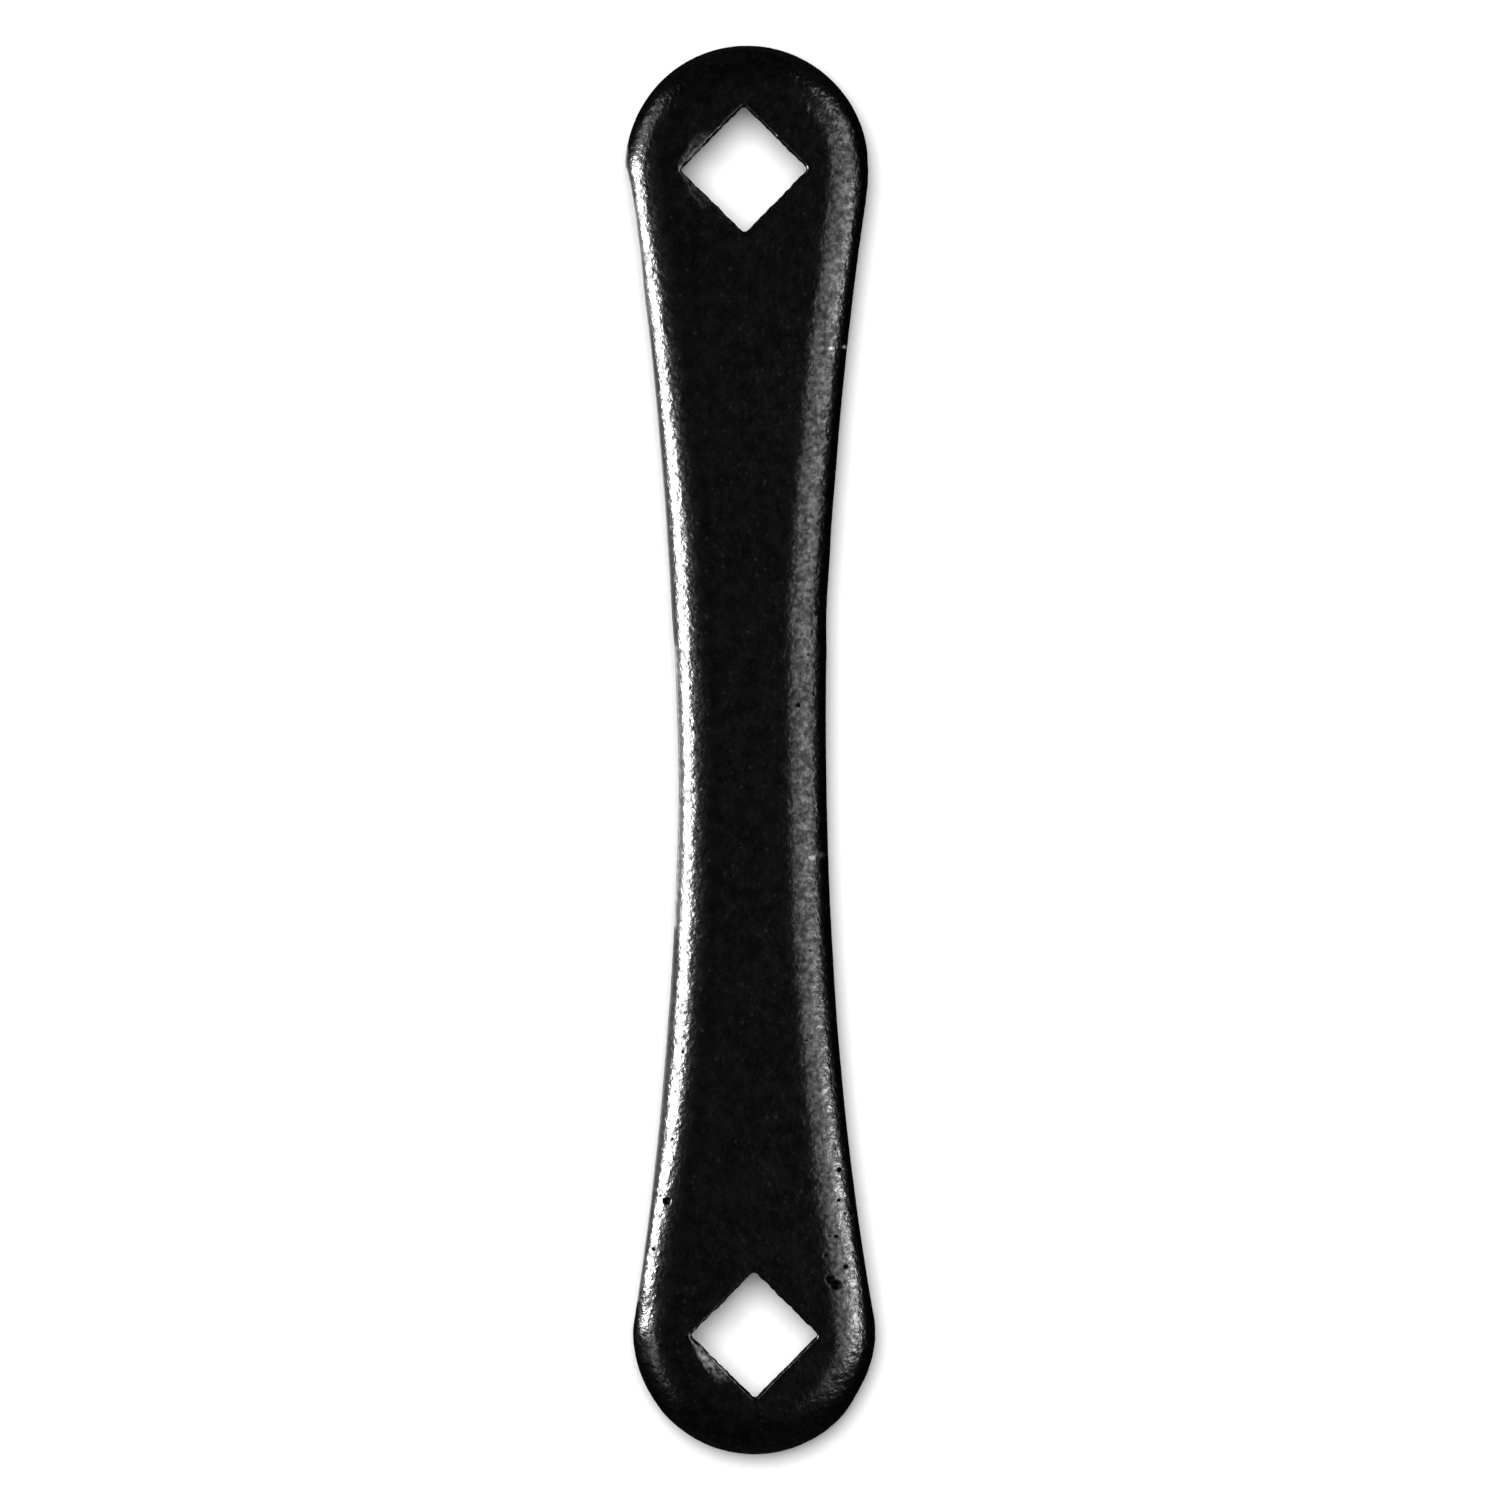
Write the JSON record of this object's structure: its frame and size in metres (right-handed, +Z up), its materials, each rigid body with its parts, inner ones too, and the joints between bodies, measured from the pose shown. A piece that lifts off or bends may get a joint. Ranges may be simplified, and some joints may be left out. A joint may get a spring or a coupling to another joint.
{
  "type": "square socket valve key",
  "caption": "Flat cast key with a waisted handle and a square socket through each round end, for turning the valve stems of small gas cylinders.",
  "frame": {"origin": "middle of the underside, halfway along the handle", "axes": "+Y along the handle, from one socket to the other; +Z up through the thickness, along both sockets; +X across the handle"},
  "size_m": [0.0262, 0.1524, 0.0063],
  "materials": {
    "black_casting": "satin black coating over an as-cast skin"
  },
  "bodies": {
    "root": {"wrench_body": "black_casting"}
  },
  "joints": []
}
